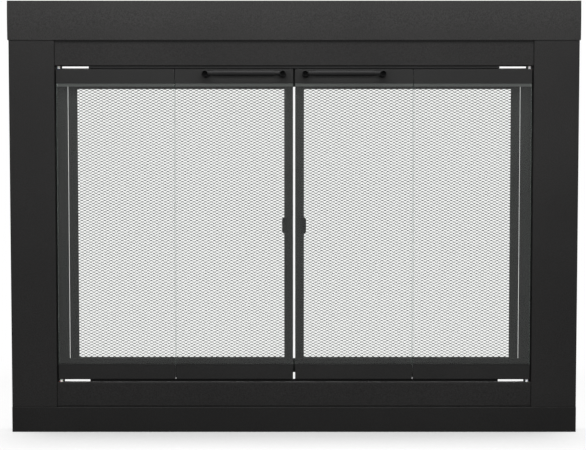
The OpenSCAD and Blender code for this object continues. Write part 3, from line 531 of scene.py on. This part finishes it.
post_out = 0.1714
post_in = 0.0218
bar_height = 0.6995
cup_shade_tone = 0.25
shade_from = 0.0034
shade_to = 0.0075
matt_from = 0.0046
matt_to = 0.0056

# Round the posts, and darkest in their cups, shade is painted into the paint's colour; in the cups it
# is also quite matt.
handle_paint = coat_of("handle_paint", (0.0150, 0.0150, 0.0152), speckle=0.15, roughness=0.7,
                       bump=0.05, specular=0.04)
tree = handle_paint.node_tree
where = object_xyz(tree, (-1500, 300))
across = math_node(tree, (-1300, 400), "ABSOLUTE", where["X"])
to_post = math_node(tree, (-1100, 400), "SUBTRACT", across, (post_out + post_in) / 2)
to_post = math_node(tree, (-950, 400), "ABSOLUTE", to_post)
to_post = math_node(tree, (-800, 400), "SUBTRACT", to_post, (post_out - post_in) / 2)
up = math_node(tree, (-1100, 200), "SUBTRACT", where["Z"], bar_height)
across_squared = math_node(tree, (-800, 250), "MULTIPLY", to_post, to_post)
up_squared = math_node(tree, (-800, 100), "MULTIPLY", up, up)
reach = math_node(tree, (-700, 300), "ADD", across_squared, up_squared)
reach = math_node(tree, (-600, 300), "SQRT", reach)
paint_shade_into(handle_paint,
          tone=ranged(tree, (-400, 300), reach, cup_shade_tone, 1.0, shade_from, shade_to),
          dullness=ranged(tree, (-400, 500), reach, 1.0, 0.0, matt_from, matt_to))
dress(("left_handle", "right_handle"), handle_paint)
dress(("left_handle_screws", "right_handle_screws"), bright_zinc)


# ------------------------------------------------------------ gate frames and carriers
# The rolled steel channels that frame the mesh gates, the bars and jamb channels
# that they close against, their hinge ears and finger pulls, all painted black,
# and the magnets that hold them shut.

gate_paint = coat_of("gate_paint", (0.0105, 0.0110, 0.0105), speckle=0.25, roughness=0.5, bump=0.15,
                     specular=0.10)
dress(("left_gate_frame", "right_gate_frame", "jamb_channels", "gate_top_bar", "gate_hinge_ears"),
      gate_paint)

# The bar over the hearth is less tall than in the CAD source: light shows under it.
bar_raise = 0.0140
weld = 1e-6
bar = bmesh.new()
bar.from_mesh(cad["gate_bottom_bar"].data)
bmesh.ops.remove_doubles(bar, verts=bar.verts, dist=weld)
bar_low, bar_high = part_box("gate_bottom_bar")
bar_middle = (bar_low[2] + bar_high[2]) / 2
lower_half = [vert for vert in bar.verts if vert.co.z < bar_middle]
bmesh.ops.translate(bar, vec=(0, 0, bar_raise), verts=lower_half)
new_piece("hearth_bar", bar, "frame", gate_paint, "gate_bottom_bar")

pull_paint = coat_of("pull_paint", (0.005, 0.005, 0.005), speckle=0.15, roughness=0.55, bump=0.05,
                     specular=0.08)
dress(("left_gate_pull", "right_gate_pull"), pull_paint)
magnet_paint = coat_of("magnet_paint", (0.02, 0.02, 0.021), speckle=0.3, roughness=0.4, bump=0.1,
                       specular=0.5)
dress(("gate_magnets",), magnet_paint)


# ------------------------------------------------------------ mesh
# Expanded steel sheet: one sheet slit and drawn into rows of flat diamonds, so
# each row is a zigzag strand with flat crests, which are one with the next row's.
# It is painted with the gate's frame and held under the frame's front lip.

diamond_w = 0.0113
diamond_h = 0.00565
strand = 0.00097
strand_depth = 0.0005
strand_tilt = math.radians(25)
bond = 0.00043
crest = 0.0029
mesh_paint = coat_of("mesh_paint", (0.010, 0.0105, 0.010), speckle=0.3, roughness=0.5, bump=0.0,
                     specular=0.12)


def drawn_strand(mesh, start, phase, diamonds):
    # A three-sided wire that zigzags along X from the start, up first where the phase is 1.
    corners = [(-1, -1), (1, -1), (0, 1)]
    ring = [mesh.verts.new((0, depth * strand_depth / 2, up * strand / 2)) for up, depth in corners]
    edges = [mesh.edges.new((ring[i], ring[i - 1])) for i in range(3)]
    bmesh.ops.rotate(mesh, cent=(0, 0, 0), matrix=Matrix.Rotation(strand_tilt, 3, "X"), verts=ring)
    bmesh.ops.translate(mesh, vec=start, verts=ring)
    flat = (crest, 0, 0)
    rise = phase * (diamond_h / 2 - 2 * bond)
    run = diamond_w / 2 - crest
    for step in diamonds * (flat, (run, 0, rise), flat, (run, 0, -rise)):
        grown = bmesh.ops.extrude_edge_only(mesh, edges=edges)["geom"]
        ring = [part for part in grown if isinstance(part, bmesh.types.BMVert)]
        edges = [part for part in grown if isinstance(part, bmesh.types.BMEdge)]
        bmesh.ops.translate(mesh, vec=step, verts=ring)


for side in ("left", "right"):
    low, high = (Vector(corner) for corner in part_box(f"{side}_gate_mesh"))
    middle = (low + high) / 2
    diamonds = math.ceil((high.x - low.x) / diamond_w) + 1
    rows = math.floor((high.z - low.z) / diamond_h)
    row = bmesh.new()
    for phase in (-1, 1):
        start = (low.x - diamond_w / 2 - crest / 2, middle.y, low.z + diamond_h / 2 + phase * bond)
        drawn_strand(row, start, phase, diamonds)
    for edge_x, outwards in ((low.x, -1), (high.x, 1)):
        bmesh.ops.bisect_plane(row, geom=row.verts[:] + row.edges[:] + row.faces[:],
                               plane_co=(edge_x, 0, 0), plane_no=(outwards, 0, 0), clear_outer=True)
    bmesh.ops.holes_fill(row, edges=[edge for edge in row.edges if edge.is_boundary])
    sheet = new_piece(f"{side}_mesh_sheet", row, f"{side}_gate", mesh_paint,
                      f"{side}_gate_mesh")
    repeat = sheet.modifiers.new("rows", "ARRAY")
    repeat.use_relative_offset = False
    repeat.use_constant_offset = True
    repeat.constant_offset_displace = (0, 0, diamond_h)
    repeat.count = rows
